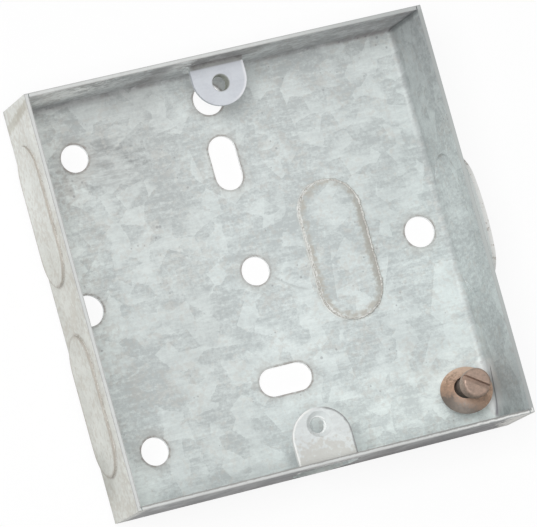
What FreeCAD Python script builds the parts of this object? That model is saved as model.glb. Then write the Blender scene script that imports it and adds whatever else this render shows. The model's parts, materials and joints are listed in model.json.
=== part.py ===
import FreeCAD, Part
import math
import os
import Sketcher

# Shallow one-gang flush back box, folded from one galvanised sheet, with its earth terminal.
# The box lies on its back: the back face is z = 0, the open front faces +Z, and the origin is the
# centre of the back. X runs across the box and Y towards the wall with the shorter screw lug.

doc = FreeCAD.newDocument("flush_back_box")
sheet = doc.addObject("Spreadsheet::Sheet", "sizes")

# Driving sizes in millimetres
SIZES = {
    # Sheet and outside of the box
    "box_width": 72.0,
    "box_height": 72.0,
    "box_depth": 16.0,
    "sheet_thickness": 0.7,
    "fold_radius": 1.8,
    "corner_seam": 0.15,
    # Fixing holes and slots in the base, set in from the outside faces
    "centre_hole_diameter": 5.0,
    "side_hole_diameter": 5.4,
    "side_hole_inset": 5.55,
    "corner_hole_diameter": 4.85,
    "corner_hole_inset": 10.3,
    "slot_width": 4.9,
    "slot_length": 9.5,
    "slot_inset": 16.85,
    # Knockouts, obrounds half-sheared out of the sheet
    "knockout_length": 24.4,
    "knockout_width": 11.3,
    "knockout_height": 7.4,
    "knockout_shear": 0.4,
    "left_knockout_offset": 16.5,
    "base_knockout_x": 15.7,
    "base_knockout_y": 0.3,
    "base_knockout_width": 11.1,
    "base_knockout_shear": 0.3,
    "right_knockout_offset": 0.8,
    "right_knockout_bow": 2.5,
    "right_knockout_lift": 1.25,
    # Screw lugs, tongues sheared out of the walls and folded inwards
    "lug_bend_radius": 0.75,
    "lug_relief": 0.12,
    "lug_bore": 3.0,
    "lug_collar_diameter": 4.6,
    "lug_collar_depth": 1.5,
    "top_lug_height": 9.6,
    "top_lug_width": 9.6,
    "top_lug_reach": 7.7,
    "top_lug_hole_reach": 3.8,
    "bottom_lug_height": 11.5,
    "bottom_lug_width": 10.6,
    "bottom_lug_reach": 9.4,
    "bottom_lug_hole_reach": 6.5,
    "funnel_diameter": 4.5,
    "funnel_depth": 0.8,
    # Earth terminal
    "terminal_inset_x": 6.0,
    "terminal_inset_y": 7.8,
    "screw_diameter": 3.5,
    "screw_thread_clearance": 0.05,
    "screw_tip_clearance": 0.2,
    "screw_tip_chamfer": 0.5,
    "screw_shank_length": 6.9,
    "head_diameter": 5.0,
    "head_height": 2.3,
    "head_edge_radius": 0.5,
    "head_slot_width": 0.9,
    "head_slot_depth": 1.1,
    "head_slot_angle": -35.0,
    "terminal_collar_diameter": 5.0,
    "terminal_collar_height": 0.5,
    "washer_diameter": 9.0,
    "washer_height": 1.2,
    "washer_thickness": 0.5,
    "washer_tilt": 24.0,
    "washer_lean": 118.0,
    "washer_hole_clearance": 0.4,
    "washer_rest_clearance": 0.03,
}
for row, (alias, number) in enumerate(SIZES.items(), start=1):
    sheet.set("A%d" % row, alias.replace("_", " "))
    sheet.set("B%d" % row, str(number))
    sheet.setAlias("B%d" % row, alias)
doc.recompute()

# Places that several features share, written as expressions of the sheet
HALF_WIDTH = "sizes.box_width / 2"
HALF_HEIGHT = "sizes.box_height / 2"
INNER_X = "(sizes.box_width / 2 - sizes.sheet_thickness)"
INNER_Y = "(sizes.box_height / 2 - sizes.sheet_thickness)"
TERMINAL_X = "(sizes.box_width / 2 - sizes.terminal_inset_x)"
TERMINAL_Y = "-(sizes.box_height / 2 - sizes.terminal_inset_y)"

TURN_ABOUT_NORMAL = FreeCAD.Rotation(FreeCAD.Vector(0, 0, 1), 180)
TURN_ABOUT_UPRIGHT = FreeCAD.Rotation(FreeCAD.Vector(0, 1, 0), 180)


def amount(expression):
    """Present value of an expression of the sheet."""
    result = sheet.evalExpression(expression)
    return float(getattr(result, "Value", result))


def origin_plane(body, role):
    return [part for part in body.Origin.OriginFeatures if part.Role == role][0]


def attach(feature, body, role, x=None, y=None, z=None, turn=None):
    """Put a sketch or primitive on an origin plane, shifted along the plane's own axes."""
    feature.AttachmentSupport = (origin_plane(body, role), [""])
    feature.MapMode = "FlatFace"
    if turn is not None:
        feature.AttachmentOffset = FreeCAD.Placement(FreeCAD.Vector(), turn)
    for axis, expression in (("x", x), ("y", y), ("z", z)):
        if expression is not None:
            feature.setExpression("AttachmentOffset.Base.%s" % axis, expression)


def new_sketch(body, name, role, **shift):
    sketch = body.newObject("Sketcher::SketchObject", name)
    attach(sketch, body, role, **shift)
    return sketch


def bind(sketch, constraint, expression):
    """Add a constraint whose value is an expression of the sheet."""
    index = sketch.addConstraint(constraint)
    sketch.setExpression("Constraints[%d]" % index, expression)


# In every sketch, -1 is the level axis, whose point 1 is the sketch's origin, and -2 the upright axis
def place_point(sketch, geometry, point, x, y):
    """Tie a point to the sketch origin; each of x and y is an expression, or None on the axis."""
    for kind, expression, axis in (("DistanceX", x, -2), ("DistanceY", y, -1)):
        if expression is None:
            sketch.addConstraint(Sketcher.Constraint("PointOnObject", geometry, point, axis))
            continue
        value = amount(expression)
        if value >= 0:
            bind(sketch, Sketcher.Constraint(kind, -1, 1, geometry, point, value), expression)
        else:
            bind(sketch, Sketcher.Constraint(kind, geometry, point, -1, 1, -value),
                 "-(%s)" % expression)


def add_circle(sketch, diameter, x=None, y=None):
    centre = FreeCAD.Vector(amount(x) if x else 0, amount(y) if y else 0, 0)
    radius = amount(diameter) / 2
    circle = sketch.addGeometry(Part.Circle(centre, FreeCAD.Vector(0, 0, 1), radius))
    place_point(sketch, circle, 3, x, y)
    bind(sketch, Sketcher.Constraint("Diameter", circle, 2 * radius), diameter)


def add_lines(sketch, points):
    """Closed outline of straight lines; each point is a pair of expressions, or None on an axis."""
    spots = [FreeCAD.Vector(amount(x) if x else 0, amount(y) if y else 0, 0) for x, y in points]
    lines = [sketch.addGeometry(Part.LineSegment(a, b)) for a, b in zip(spots, spots[1:] + spots[:1])]
    for line, following in zip(lines, lines[1:] + lines[:1]):
        sketch.addConstraint(Sketcher.Constraint("Coincident", line, 2, following, 1))
    for line, (x, y) in zip(lines, points):
        place_point(sketch, line, 1, x, y)
    return lines


def add_rectangle(sketch, left, right, low, high):
    add_lines(sketch, ((left, low), (right, low), (right, high), (left, high)))


def add_obround(sketch, length, width, upright=False):
    """Obround about the sketch origin."""
    radius = amount(width) / 2
    reach = (amount(length) - amount(width)) / 2
    turn = FreeCAD.Rotation(FreeCAD.Vector(0, 0, 1), 90 if upright else 0)
    start = 90 if upright else 0

    def spot(x, y):
        return turn.multVec(FreeCAD.Vector(x, y, 0))

    def half_circle(x, first):
        circle = Part.Circle(spot(x, 0), FreeCAD.Vector(0, 0, 1), radius)
        low = math.radians(start + first)
        return Part.ArcOfCircle(circle, low, low + math.pi)

    near = sketch.addGeometry(Part.LineSegment(spot(-reach, -radius), spot(reach, -radius)))
    right = sketch.addGeometry(half_circle(reach, -90))
    far = sketch.addGeometry(Part.LineSegment(spot(reach, radius), spot(-reach, radius)))
    left = sketch.addGeometry(half_circle(-reach, 90))
    for first, second in ((near, right), (right, far), (far, left), (left, near)):
        sketch.addConstraint(Sketcher.Constraint("Tangent", first, 2, second, 1))
    sketch.addConstraint(Sketcher.Constraint("Equal", right, left))
    sketch.addConstraint(Sketcher.Constraint("Symmetric", right, 3, left, 3, -1, 1))
    axis = -2 if upright else -1
    sketch.addConstraint(Sketcher.Constraint("PointOnObject", right, 3, axis))
    bind(sketch, Sketcher.Constraint("Radius", right, radius), "(%s) / 2" % width)
    kind = "DistanceY" if upright else "DistanceX"
    bind(sketch, Sketcher.Constraint(kind, left, 3, right, 3, 2 * reach), "%s - %s" % (length, width))


def add_tongue(sketch, width, reach):
    """D-shaped tongue: straight root on the X axis of the sketch, rounded tip towards its -Y."""
    radius = amount(width) / 2
    side = amount(reach) - radius
    root = sketch.addGeometry(Part.LineSegment(
        FreeCAD.Vector(radius, 0, 0), FreeCAD.Vector(-radius, 0, 0)))
    left = sketch.addGeometry(Part.LineSegment(
        FreeCAD.Vector(-radius, 0, 0), FreeCAD.Vector(-radius, -side, 0)))
    circle = Part.Circle(FreeCAD.Vector(0, -side, 0), FreeCAD.Vector(0, 0, 1), radius)
    tip = sketch.addGeometry(Part.ArcOfCircle(circle, math.pi, 2 * math.pi))
    right = sketch.addGeometry(Part.LineSegment(
        FreeCAD.Vector(radius, -side, 0), FreeCAD.Vector(radius, 0, 0)))
    sketch.addConstraint(Sketcher.Constraint("Coincident", root, 2, left, 1))
    sketch.addConstraint(Sketcher.Constraint("Tangent", left, 2, tip, 1))
    sketch.addConstraint(Sketcher.Constraint("Tangent", tip, 2, right, 1))
    sketch.addConstraint(Sketcher.Constraint("Coincident", right, 2, root, 1))
    sketch.addConstraint(Sketcher.Constraint("Symmetric", root, 1, root, 2, -1, 1))
    sketch.addConstraint(Sketcher.Constraint("Horizontal", root))
    sketch.addConstraint(Sketcher.Constraint("Vertical", left))
    bind(sketch, Sketcher.Constraint("Radius", tip, radius), "(%s) / 2" % width)
    bind(sketch, Sketcher.Constraint("DistanceY", tip, 3, -1, 1, side),
         "%s - (%s) / 2" % (reach, width))


def extrude(body, kind, name, sketch, length, reverse=False, symmetric=False):
    """Pad or Pocket of a sketch; the change of volume has to have the right sign."""
    feature = body.newObject("PartDesign::%s" % kind, name)
    before = body.Shape.Volume if not body.Shape.isNull() else 0.0
    feature.Profile = sketch
    feature.Type = "Length"
    feature.SideType = "Symmetric" if symmetric else "One side"
    feature.Reversed = reverse
    feature.setExpression("Length", length)
    body.Tip = feature
    doc.recompute()
    gain = body.Shape.Volume - before
    if (kind == "Pad") != (gain > 1e-6):
        raise ValueError("%s changed the volume by %.4f" % (name, gain))
    return feature


def edges_where(feature, test):
    """Names of the edges of a feature whose every point passes a test of x, y and z."""
    names = []
    for index, edge in enumerate(feature.Shape.Edges, 1):
        if all(test(*edge.valueAt(at)) for at in edge.ParameterRange):
            names.append("Edge%d" % index)
    return names


def near(a, b):
    return abs(a - b) < 1e-6


# Box shell: a tray with folds of one radius, made from the sheet's outside inwards
box = doc.addObject("PartDesign::Body", "box_shell")
box.Label = "box_shell"

outline = new_sketch(box, "outline", "XY_Plane")
add_rectangle(outline, "-%s" % HALF_WIDTH, HALF_WIDTH, "-%s" % HALF_HEIGHT, HALF_HEIGHT)
block = extrude(box, "Pad", "block", outline, "sizes.box_depth")

folds = box.newObject("PartDesign::Fillet", "folds")
folds.Base = (block, edges_where(block, lambda x, y, z: near(z, 0)))
folds.setExpression("Radius", "sizes.fold_radius")
box.Tip = folds
doc.recompute()

cavity_outline = new_sketch(box, "cavity_outline", "XY_Plane", z="sizes.box_depth")
add_rectangle(cavity_outline, "-%s" % INNER_X, INNER_X, "-%s" % INNER_Y, INNER_Y)
cavity = extrude(box, "Pocket", "cavity", cavity_outline, "sizes.box_depth - sizes.sheet_thickness")

floor_level = amount("sizes.sheet_thickness")
inner_folds = box.newObject("PartDesign::Fillet", "inner_folds")
inner_folds.Base = (cavity, edges_where(cavity, lambda x, y, z: near(z, floor_level)))
inner_folds.setExpression("Radius", "sizes.fold_radius - sizes.sheet_thickness")
box.Tip = inner_folds
doc.recompute()

# Corner seams: the top and bottom walls stop a hair short of the full-length side walls
seams = new_sketch(box, "seams", "XY_Plane", z="sizes.box_depth")
for side_x in ("", "-"):
    for side_y in ("", "-"):
        add_rectangle(
            seams,
            "%s(%s - sizes.corner_seam)" % (side_x, INNER_X),
            "%s%s" % (side_x, INNER_X),
            "%s%s" % (side_y, INNER_Y),
            "%s(%s + sizes.sheet_thickness)" % (side_y, HALF_HEIGHT),
        )
extrude(box, "Pocket", "corner_seams", seams, "sizes.box_depth - sizes.fold_radius")

# Fixing holes: one in the centre, one towards each wall but the -Y one, two in the corners on the -X side
side_x = "(%s - sizes.side_hole_inset)" % HALF_WIDTH
side_y = "(%s - sizes.side_hole_inset)" % HALF_HEIGHT
corner_x = "-(%s - sizes.corner_hole_inset)" % HALF_WIDTH
corner_y = "(%s - sizes.corner_hole_inset)" % HALF_HEIGHT
holes = new_sketch(box, "holes", "XY_Plane", z="sizes.sheet_thickness")
add_circle(holes, "sizes.centre_hole_diameter")
add_circle(holes, "sizes.side_hole_diameter", x=side_x)
add_circle(holes, "sizes.side_hole_diameter", x="-%s" % side_x)
add_circle(holes, "sizes.side_hole_diameter", y=side_y)
add_circle(holes, "sizes.corner_hole_diameter", x=corner_x, y=corner_y)
add_circle(holes, "sizes.corner_hole_diameter", x=corner_x, y="-%s" % corner_y)
extrude(box, "Pocket", "fixing_holes", holes, "sizes.sheet_thickness")

slot_y = "(%s - sizes.slot_inset)" % HALF_HEIGHT
upright_slot = new_sketch(box, "upright_slot", "XY_Plane", y=slot_y, z="sizes.sheet_thickness")
add_obround(upright_slot, "sizes.slot_length", "sizes.slot_width", upright=True)
extrude(box, "Pocket", "slot_along_y", upright_slot, "sizes.sheet_thickness")
level_slot = new_sketch(box, "level_slot", "XY_Plane", y="-%s" % slot_y, z="sizes.sheet_thickness")
add_obround(level_slot, "sizes.slot_length", "sizes.slot_width")
extrude(box, "Pocket", "slot_along_x", level_slot, "sizes.sheet_thickness")


def half_shear(name, role, near_face, far_face, shift, width, depth, upright, towards_normal):
    """Push an obround of the sheet through by part of its thickness."""
    hollow = new_sketch(box, name + "_hollow", role, z=near_face, **shift)
    add_obround(hollow, "sizes.knockout_length", width, upright=upright)
    extrude(box, "Pocket", name + "_recess", hollow, depth, reverse=towards_normal)
    stand = new_sketch(box, name + "_stand", role, z=far_face, **shift)
    add_obround(stand, "sizes.knockout_length", width, upright=upright)
    extrude(box, "Pad", name + "_slug", stand, depth, reverse=not towards_normal)


# The base knockout is pushed inwards, so that the back stays flat
half_shear("base_knockout", "XY_Plane", "0", "sizes.sheet_thickness",
           {"x": "sizes.base_knockout_x", "y": "sizes.base_knockout_y"},
           "sizes.base_knockout_width", "sizes.base_knockout_shear", True, True)

# The two knockouts of the -X wall are pushed outwards
for place, sign in (("upper", ""), ("lower", "-")):
    half_shear("%s_left_knockout" % place, "YZ_Plane", "-%s" % INNER_X, "-%s" % HALF_WIDTH,
               {"x": "%ssizes.left_knockout_offset" % sign, "y": "sizes.knockout_height"},
               "sizes.knockout_width", "sizes.knockout_shear", False, False)

# The knockout of the +X wall has been prised out: it hangs on the wall along its edge by the base and
# at its ends, and its front edge stands out of the wall in a bow
right_place = {"x": "-sizes.right_knockout_offset", "y": "sizes.knockout_height"}
right_hole = new_sketch(box, "right_hole", "YZ_Plane",
                        z="%s - sizes.sheet_thickness / 2" % HALF_WIDTH, **right_place)
add_obround(right_hole, "sizes.knockout_length", "sizes.knockout_width")
extrude(box, "Pocket", "right_knockout_hole", right_hole, "2 * sizes.sheet_thickness", symmetric=True)

# The slug is made longer than the knockout, by the sheet's thickness at each end, and then trimmed
HALF_SLUG = "(sizes.knockout_length / 2 + sizes.sheet_thickness)"
hinge = new_sketch(box, "hinge", "XY_Plane", x=INNER_X, y="-sizes.right_knockout_offset",
                   z="sizes.knockout_height - sizes.knockout_width / 2")
add_rectangle(hinge, None, "sizes.sheet_thickness", "-%s" % HALF_SLUG, HALF_SLUG)

BOW_RISE = "(sizes.right_knockout_bow - sizes.right_knockout_lift)"
BOW_RADIUS = "((%s ^ 2 + %s ^ 2) / (2 * %s))" % (HALF_SLUG, BOW_RISE, BOW_RISE)
bow_radius = amount(BOW_RADIUS)
half_slug = amount(HALF_SLUG)
thickness = amount("sizes.sheet_thickness")
bow = new_sketch(box, "bow", "XY_Plane",
                 x="%s + sizes.right_knockout_bow" % HALF_WIDTH,
                 y="-sizes.right_knockout_offset",
                 z="sizes.knockout_height + sizes.knockout_width / 2")


def bow_arc(radius):
    """Arc about the bow's centre, between the two ends of the slug."""
    end_x = math.sqrt(radius ** 2 - half_slug ** 2) - bow_radius
    return Part.Arc(FreeCAD.Vector(end_x, -half_slug, 0),
                    FreeCAD.Vector(radius - bow_radius, 0, 0),
                    FreeCAD.Vector(end_x, half_slug, 0))


outer_arc = bow.addGeometry(bow_arc(bow_radius))
inner_arc = bow.addGeometry(bow_arc(bow_radius - thickness))
first_end = bow.addGeometry(Part.LineSegment(
    bow.Geometry[inner_arc].StartPoint, bow.Geometry[outer_arc].StartPoint))
last_end = bow.addGeometry(Part.LineSegment(
    bow.Geometry[outer_arc].EndPoint, bow.Geometry[inner_arc].EndPoint))
bow.addConstraint(Sketcher.Constraint("Coincident", first_end, 1, inner_arc, 1))
bow.addConstraint(Sketcher.Constraint("Coincident", first_end, 2, outer_arc, 1))
bow.addConstraint(Sketcher.Constraint("Coincident", last_end, 1, outer_arc, 2))
bow.addConstraint(Sketcher.Constraint("Coincident", last_end, 2, inner_arc, 2))
bow.addConstraint(Sketcher.Constraint("Coincident", outer_arc, 3, inner_arc, 3))
bow.addConstraint(Sketcher.Constraint("PointOnObject", outer_arc, 3, -1))
bow.addConstraint(Sketcher.Constraint("Horizontal", first_end))
bow.addConstraint(Sketcher.Constraint("Horizontal", last_end))
bow.addConstraint(Sketcher.Constraint("Symmetric", outer_arc, 1, outer_arc, 2, -1))
bind(bow, Sketcher.Constraint("DistanceX", outer_arc, 3, -1, 1, bow_radius), BOW_RADIUS)
bind(bow, Sketcher.Constraint("Radius", outer_arc, bow_radius), BOW_RADIUS)
bind(bow, Sketcher.Constraint("Radius", inner_arc, bow_radius - thickness),
     "%s - sizes.sheet_thickness" % BOW_RADIUS)
bind(bow, Sketcher.Constraint("DistanceY", outer_arc, 1, outer_arc, 2, 2 * half_slug),
     "2 * %s" % HALF_SLUG)
doc.recompute()
slug = box.newObject("PartDesign::AdditiveLoft", "right_knockout_slug")
slug.Profile = hinge
slug.Sections = [bow]
slug.Ruled = True
box.Tip = slug
doc.recompute()

# What stands out of the wall beyond the knockout's rounded ends is trimmed away
trim = new_sketch(box, "trim", "YZ_Plane", z=HALF_WIDTH, **right_place)
add_obround(trim, "sizes.knockout_length", "sizes.knockout_width")
add_rectangle(trim, "-sizes.knockout_length", "sizes.knockout_length",
              "-sizes.knockout_width", "sizes.knockout_width")
extrude(box, "Pocket", "right_knockout_ends", trim, "2 * sizes.right_knockout_bow", reverse=True)


def screw_lug(name, wall, about_upright, about_normal):
    """Tongue folded inwards out of the +Y wall, or out of the -Y wall when turned about."""
    height = "sizes.%s_height" % name
    width = "sizes.%s_width" % name
    flat = "(sizes.%s_reach - sizes.lug_bend_radius)" % name
    root = "%s(%s - sizes.lug_bend_radius)" % (wall, INNER_Y)
    unbent = "((sizes.lug_bend_radius + sizes.sheet_thickness / 2) * pi / 2)"

    # Window that the tongue leaves in the wall, as long as the tongue is unbent
    window = new_sketch(box, name + "_window", "XZ_Plane", y="%s + sizes.lug_bend_radius" % height,
                        z="-%s(%s - sizes.sheet_thickness / 2)" % (wall, HALF_HEIGHT))
    add_tongue(window, "(%s + 2 * sizes.lug_relief)" % width,
               "(%s + %s)" % (flat, unbent))
    extrude(box, "Pocket", name + "_opening", window, "2 * sizes.sheet_thickness", symmetric=True)

    # Quarter bend from the wall above the window to the flat of the tongue
    bend = new_sketch(box, name + "_bend_profile", "YZ_Plane", x=root,
                      y="%s + sizes.lug_bend_radius" % height, turn=about_upright)
    inside = amount("sizes.lug_bend_radius")
    outside = inside + thickness
    arcs = []
    for radius in (inside, outside):
        circle = Part.Circle(FreeCAD.Vector(), FreeCAD.Vector(0, 0, 1), radius)
        arcs.append(bend.addGeometry(Part.ArcOfCircle(circle, 1.5 * math.pi, 2 * math.pi)))
    at_wall = bend.addGeometry(Part.LineSegment(
        FreeCAD.Vector(inside, 0, 0), FreeCAD.Vector(outside, 0, 0)))
    at_flat = bend.addGeometry(Part.LineSegment(
        FreeCAD.Vector(0, -inside, 0), FreeCAD.Vector(0, -outside, 0)))
    for arc in arcs:
        bend.addConstraint(Sketcher.Constraint("Coincident", arc, 3, -1, 1))
    bend.addConstraint(Sketcher.Constraint("Coincident", at_wall, 1, arcs[0], 2))
    bend.addConstraint(Sketcher.Constraint("Coincident", at_wall, 2, arcs[1], 2))
    bend.addConstraint(Sketcher.Constraint("Coincident", at_flat, 1, arcs[0], 1))
    bend.addConstraint(Sketcher.Constraint("Coincident", at_flat, 2, arcs[1], 1))
    bend.addConstraint(Sketcher.Constraint("PointOnObject", arcs[0], 1, -2))
    bend.addConstraint(Sketcher.Constraint("PointOnObject", arcs[1], 1, -2))
    bend.addConstraint(Sketcher.Constraint("PointOnObject", arcs[0], 2, -1))
    bend.addConstraint(Sketcher.Constraint("PointOnObject", arcs[1], 2, -1))
    bind(bend, Sketcher.Constraint("Radius", arcs[0], inside), "sizes.lug_bend_radius")
    bind(bend, Sketcher.Constraint("Radius", arcs[1], outside),
         "sizes.lug_bend_radius + sizes.sheet_thickness")
    extrude(box, "Pad", name + "_bend", bend, width, symmetric=True)

    # Flat tongue, its plunged collar below and the tapped bore through both
    tongue = new_sketch(box, name + "_outline", "XY_Plane", y=root,
                        z="%s - sizes.sheet_thickness" % height, turn=about_normal)
    add_tongue(tongue, width, flat)
    extrude(box, "Pad", name + "_tongue", tongue, "sizes.sheet_thickness")
    hole_y = "%s(%s - sizes.%s_hole_reach)" % (wall, INNER_Y, name)
    collar = new_sketch(box, name + "_collar_outline", "XY_Plane", y=hole_y,
                        z="%s - sizes.sheet_thickness" % height)
    add_circle(collar, "sizes.lug_collar_diameter")
    extrude(box, "Pad", name + "_collar", collar, "sizes.lug_collar_depth", reverse=True)
    bore = new_sketch(box, name + "_bore_outline", "XY_Plane", y=hole_y, z=height)
    add_circle(bore, "sizes.lug_bore")
    extrude(box, "Pocket", name + "_bore", bore, "sizes.sheet_thickness + sizes.lug_collar_depth")
    return hole_y


screw_lug("top_lug", "", None, None)
bottom_hole_y = screw_lug("bottom_lug", "-", TURN_ABOUT_UPRIGHT, TURN_ABOUT_NORMAL)

# Only the bottom lug's bore starts with a funnel
funnel = box.newObject("PartDesign::SubtractiveCone", "bottom_lug_funnel")
attach(funnel, box, "XY_Plane", y=bottom_hole_y, z="sizes.bottom_lug_height - sizes.funnel_depth")
funnel.setExpression("Radius1", "sizes.lug_bore / 2")
funnel.setExpression("Radius2", "sizes.funnel_diameter / 2")
funnel.setExpression("Height", "sizes.funnel_depth")
box.Tip = funnel
doc.recompute()

# Plunged collar in the base that takes the earth screw
screw_bore = "(sizes.screw_diameter + 2 * sizes.screw_thread_clearance)"
terminal_collar = new_sketch(box, "terminal_collar_outline", "XY_Plane", x=TERMINAL_X, y=TERMINAL_Y,
                             z="sizes.sheet_thickness")
add_circle(terminal_collar, "sizes.terminal_collar_diameter")
extrude(box, "Pad", "terminal_collar", terminal_collar, "sizes.terminal_collar_height")
terminal_bore = new_sketch(box, "terminal_bore_outline", "XY_Plane", x=TERMINAL_X, y=TERMINAL_Y,
                           z="sizes.sheet_thickness + sizes.terminal_collar_height")
add_circle(terminal_bore, screw_bore)
extrude(box, "Pocket", "terminal_bore", terminal_bore,
        "sizes.sheet_thickness + sizes.terminal_collar_height")


def terminal_body(name, x, y, z, turn=FreeCAD.Rotation()):
    """Body whose own origin is at the given place and which is turned about it."""
    body = doc.addObject("PartDesign::Body", name)
    body.Label = name
    body.Placement.Rotation = turn
    for axis, expression in (("x", x), ("y", y), ("z", z)):
        body.setExpression("Placement.Base.%s" % axis, expression)
    return body


def revolve(body, name, sketch):
    feature = body.newObject("PartDesign::Revolution", name)
    feature.Profile = sketch
    feature.ReferenceAxis = (sketch, ["V_Axis"])
    feature.Angle = 360
    body.Tip = feature
    doc.recompute()
    return feature


# Earth screw: slotted cheese head, half unscrewed; its origin is the tip, just inside the back
screw = terminal_body("earth_screw", TERMINAL_X, TERMINAL_Y, "sizes.screw_tip_clearance")
profile = new_sketch(screw, "screw_profile", "XZ_Plane")
head_base = "sizes.screw_shank_length"
head_top = "(sizes.screw_shank_length + sizes.head_height)"
add_lines(profile, (
    (None, None),
    ("sizes.screw_diameter / 2 - sizes.screw_tip_chamfer", None),
    ("sizes.screw_diameter / 2", "sizes.screw_tip_chamfer"),
    ("sizes.screw_diameter / 2", head_base),
    ("sizes.head_diameter / 2", head_base),
    ("sizes.head_diameter / 2", head_top),
    (None, head_top),
))
turned = revolve(screw, "turned_screw", profile)
head_level = amount(head_top)
rim_radius = amount("sizes.head_diameter / 2")
head_edge = screw.newObject("PartDesign::Fillet", "head_edge")
head_edge.Base = (turned, edges_where(
    turned, lambda x, y, z: near(z, head_level) and near(math.hypot(x, y), rim_radius)))
head_edge.setExpression("Radius", "sizes.head_edge_radius")
screw.Tip = head_edge
doc.recompute()
slot = new_sketch(screw, "slot_outline", "XY_Plane", z=head_top, turn=FreeCAD.Rotation())
slot.setExpression("AttachmentOffset.Rotation.Angle", "sizes.head_slot_angle * 1 deg")
add_rectangle(slot, "-sizes.head_diameter", "sizes.head_diameter",
              "-sizes.head_slot_width / 2", "sizes.head_slot_width / 2")
extrude(screw, "Pocket", "head_slot", slot, "sizes.head_slot_depth")

# Cup washer: a shallow dome, loose on the shank; it leans, with one edge of its rim down on the base,
# and the middle of its hole stays on the screw's axis
HOLE_RADIUS = "(sizes.screw_diameter / 2 + sizes.washer_hole_clearance)"
RIM_RADIUS = "(sizes.washer_diameter / 2)"
TILT = "(sizes.washer_tilt * 1 deg)"
LEAN = "(sizes.washer_lean * 1 deg)"
HOLE_SHIFT = "(sizes.washer_height - sizes.washer_thickness / 2) * sin(%s)" % TILT
lean = math.radians(amount("sizes.washer_lean"))
lean_axis = FreeCAD.Vector(-math.sin(lean), math.cos(lean), 0)
washer = terminal_body(
    "earth_cup_washer",
    "%s - %s * cos(%s)" % (TERMINAL_X, HOLE_SHIFT, LEAN),
    "%s - %s * sin(%s)" % (TERMINAL_Y, HOLE_SHIFT, LEAN),
    "sizes.sheet_thickness + sizes.washer_rest_clearance + %s * sin(%s)" % (RIM_RADIUS, TILT),
    FreeCAD.Rotation(lean_axis, amount("sizes.washer_tilt")),
)
washer.setExpression("Placement.Rotation.Angle", TILT)
dome = new_sketch(washer, "dome_profile", "XZ_Plane")
# Centre of the dome below the rim, so that it passes through the rim and the crown's edge
DOME_DROP = "((%s ^ 2 - %s ^ 2 - sizes.washer_height ^ 2) / (2 * sizes.washer_height))" % (
    RIM_RADIUS, HOLE_RADIUS)
DOME_RADIUS = "sqrt(%s ^ 2 + %s ^ 2)" % (RIM_RADIUS, DOME_DROP)
INNER_DOME = "(%s - sizes.washer_thickness)" % DOME_RADIUS
dome_drop = amount(DOME_DROP)
hole_radius = amount(HOLE_RADIUS)


def dome_arc(radius):
    """Arc of the dome from its rim to the hole in its crown."""
    circle = Part.Circle(FreeCAD.Vector(0, -dome_drop, 0), FreeCAD.Vector(0, 0, 1), radius)
    return Part.ArcOfCircle(circle, math.asin(dome_drop / radius), math.acos(hole_radius / radius))


outer = dome.addGeometry(dome_arc(amount(DOME_RADIUS)))
inner = dome.addGeometry(dome_arc(amount(INNER_DOME)))
rim_face = dome.addGeometry(Part.LineSegment(
    dome.Geometry[inner].StartPoint, dome.Geometry[outer].StartPoint))
crown_face = dome.addGeometry(Part.LineSegment(
    dome.Geometry[outer].EndPoint, dome.Geometry[inner].EndPoint))
dome.addConstraint(Sketcher.Constraint("Coincident", rim_face, 1, inner, 1))
dome.addConstraint(Sketcher.Constraint("Coincident", rim_face, 2, outer, 1))
dome.addConstraint(Sketcher.Constraint("Coincident", crown_face, 1, outer, 2))
dome.addConstraint(Sketcher.Constraint("Coincident", crown_face, 2, inner, 2))
dome.addConstraint(Sketcher.Constraint("Coincident", outer, 3, inner, 3))
dome.addConstraint(Sketcher.Constraint("PointOnObject", outer, 3, -2))
dome.addConstraint(Sketcher.Constraint("PointOnObject", outer, 1, -1))
dome.addConstraint(Sketcher.Constraint("PointOnObject", inner, 1, -1))
dome.addConstraint(Sketcher.Constraint("Vertical", crown_face))
bind(dome, Sketcher.Constraint("DistanceX", -1, 1, outer, 1, amount(RIM_RADIUS)), RIM_RADIUS)
bind(dome, Sketcher.Constraint("DistanceX", -1, 1, outer, 2, hole_radius), HOLE_RADIUS)
bind(dome, Sketcher.Constraint("Radius", outer, amount(DOME_RADIUS)), DOME_RADIUS)
bind(dome, Sketcher.Constraint("Radius", inner, amount(INNER_DOME)), INNER_DOME)
revolve(washer, "dome", dome)

# Every object has to be sound before a file is written
doc.recompute()
for item in doc.Objects:
    if any(flag in item.State for flag in ("Invalid", "Error")):
        raise ValueError("%s failed: %s" % (item.Name, item.State))
bodies = (box, screw, washer)
for body in bodies:
    if body.Shape.isNull() or not body.Shape.isValid() or len(body.Shape.Solids) != 1:
        raise ValueError("%s is not one sound solid" % body.Label)

os.makedirs("parts", exist_ok=True)
for body in bodies:
    body.Shape.exportStep("parts/%s.step" % body.Label)
    size = body.Shape.BoundBox
    print("%s: %.2f mm3, x %.2f to %.2f, y %.2f to %.2f, z %.2f to %.2f" % (
        body.Label, body.Shape.Volume, size.XMin, size.XMax, size.YMin, size.YMax, size.ZMin, size.ZMax))
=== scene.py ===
import json
import math

import bpy
from mathutils import Matrix, Vector


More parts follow.
